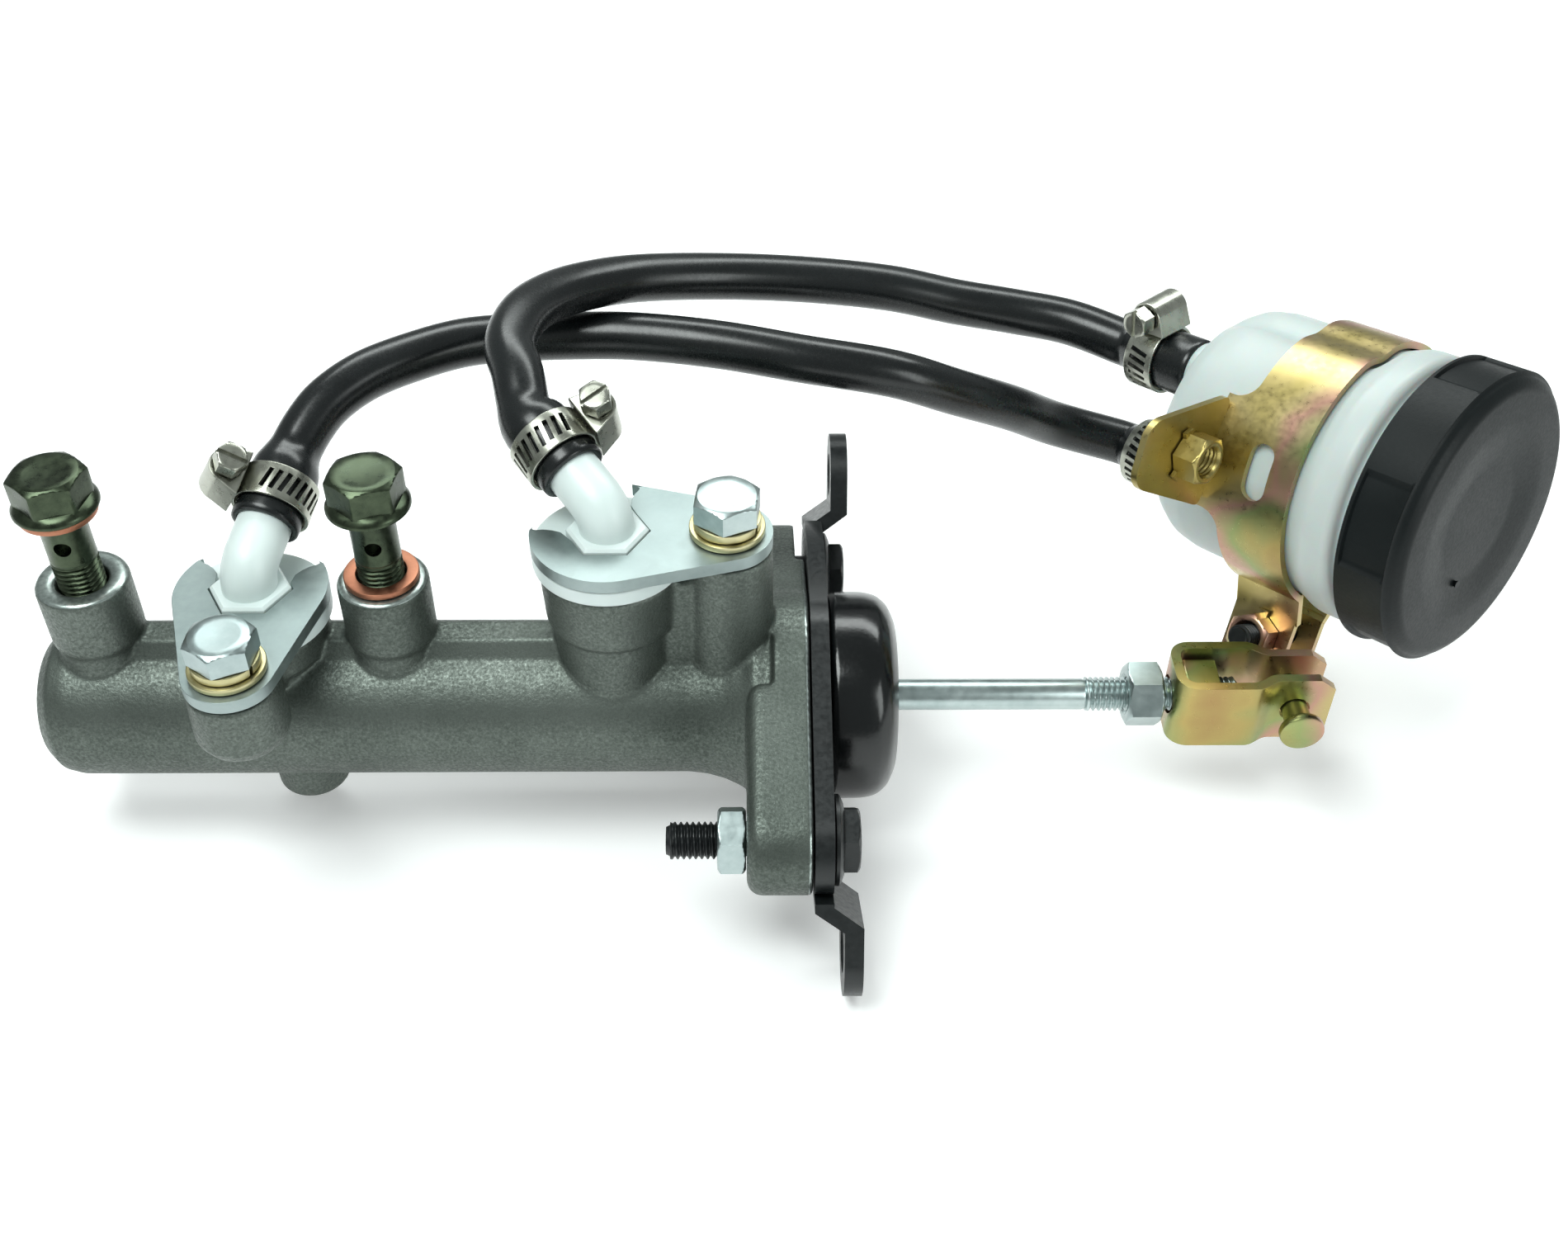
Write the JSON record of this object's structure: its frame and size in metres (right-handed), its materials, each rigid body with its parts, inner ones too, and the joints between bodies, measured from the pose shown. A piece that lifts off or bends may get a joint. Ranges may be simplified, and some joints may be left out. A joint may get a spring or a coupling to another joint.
{
  "type": "brake master cylinder",
  "caption": "Tandem brake master cylinder: cast barrel with flange plate, pushrod and clevis, inlet elbows, feed hoses and a separate capped fluid reservoir on a bracket.",
  "frame": {"origin": "on the bore axis, in the plane of the +X faces of the mounting plate's two ears, where they meet the bulkhead", "axes": "+X along the bore towards the clevis, +Z along the two outlet ports (up), +Y to the rear"},
  "size_m": [0.3422, 0.1661, 0.104],
  "materials": {
    "cast_aluminium": "sand-cast grey, bright where machined",
    "bright_zinc": "clear zinc plate, slightly blue",
    "yellow_zinc": "yellow zinc plate on steel, iridescent",
    "olive_zinc": "olive zinc plate on steel",
    "copper": "soft copper, satin",
    "white_nylon": "milky translucent nylon",
    "black_rubber": "smooth satin rubber",
    "stainless_steel": "bright stainless strip",
    "black_steel": "satin black coating",
    "black_plastic": "fine matt grain",
    "spring_steel": "plain turned or drawn steel"
  },
  "bodies": {
    "housing": {"banjo_bolt_front_outlet": "olive_zinc", "banjo_bolt_rear_outlet": "olive_zinc", "bracket_screw": "black_steel", "circlip": "spring_steel", "clamp_bolt_primary": "bright_zinc", "clamp_bolt_secondary": "bright_zinc", "clamp_plate_primary": "bright_zinc", "clamp_plate_secondary": "bright_zinc", "clamp_screw_primary_elbow": "stainless_steel", "clamp_screw_primary_reservoir": "stainless_steel", "clamp_screw_secondary_elbow": "stainless_steel", "clamp_screw_secondary_reservoir": "stainless_steel", "copper_washer_front_outlet": "copper", "copper_washer_rear_outlet": "copper", "cylinder_body": "cast_aluminium", "dust_boot": "black_rubber", "elbow_seal_primary": "black_rubber", "elbow_seal_secondary": "black_rubber", "feed_hose_primary": "black_rubber", "feed_hose_secondary": "black_rubber", "flange_bolt_front": "black_steel", "flange_bolt_rear": "black_steel", "flange_nut_front": "bright_zinc", "flange_nut_rear": "bright_zinc", "flat_washer_primary": "yellow_zinc", "flat_washer_secondary": "yellow_zinc", "hose_clamp_primary_elbow": "stainless_steel", "hose_clamp_primary_reservoir": "stainless_steel", "hose_clamp_secondary_elbow": "stainless_steel", "hose_clamp_secondary_reservoir": "stainless_steel", "inlet_elbow_primary": "white_nylon", "inlet_elbow_secondary": "white_nylon", "mounting_plate": "black_steel", "primary_spring": "spring_steel", "reservoir_body": "white_nylon", "reservoir_bracket": "yellow_zinc", "secondary_spring": "spring_steel", "spring_washer_primary": "yellow_zinc", "spring_washer_secondary": "yellow_zinc", "stop_washer": "spring_steel", "weld_nut_foot": "yellow_zinc", "weld_nut_tab": "yellow_zinc"},
    "primary_piston": {"primary_piston": "spring_steel", "primary_rear_seal": "black_rubber", "primary_cup": "black_rubber", "primary_spring_seat": "spring_steel", "pushrod": "bright_zinc", "pushrod_locknut": "bright_zinc", "clevis_yoke": "yellow_zinc", "clevis_nut_plate": "yellow_zinc"},
    "secondary_piston": {"secondary_piston": "spring_steel", "secondary_rear_cup": "black_rubber", "secondary_front_cup": "black_rubber", "secondary_spring_seat": "spring_steel"},
    "clevis_pin": {"clevis_pin": "yellow_zinc"},
    "cap_seal": {"cap_diaphragm": "black_rubber", "diaphragm_plate": "black_plastic"},
    "reservoir_cap": {"reservoir_cap": "black_plastic"}
  },
  "joints": [
    {"name": "pushrod_slide", "type": "slide", "parent": "housing", "child": "primary_piston", "axis": [-1, 0, 0], "range_m": [0, 0.014], "stiffness_N_per_m": 1800, "springref_m": -0.02, "deforming": ["primary_spring"]},
    {"name": "secondary_slide", "type": "slide", "parent": "housing", "child": "secondary_piston", "axis": [-1, 0, 0], "range_m": [0, 0.007], "deforming": ["secondary_spring", "primary_spring"]},
    {"name": "clevis_pin_slide", "type": "slide", "parent": "primary_piston", "child": "clevis_pin", "axis": [0, -1, 0], "range_m": [-0.003, 0.016]},
    {"name": "cap_lift", "type": "slide", "parent": "housing", "child": "cap_seal", "axis": [0.6378, -0.7548, 0.153], "range_m": [0, 0.012]},
    {"name": "cap_turn", "type": "hinge", "parent": "cap_seal", "child": "reservoir_cap", "pos_m": [0.1378, 0.0127, 0.0399], "axis": [0.6378, -0.7548, 0.153], "range_deg": [0, 1080]}
  ],
  "couplings": [
    {"joint": "secondary_slide", "follows": "pushrod_slide", "ratio": 0.5},
    {"joint": "cap_turn", "follows": "cap_lift", "rad_per_m": 1570.8}
  ]
}
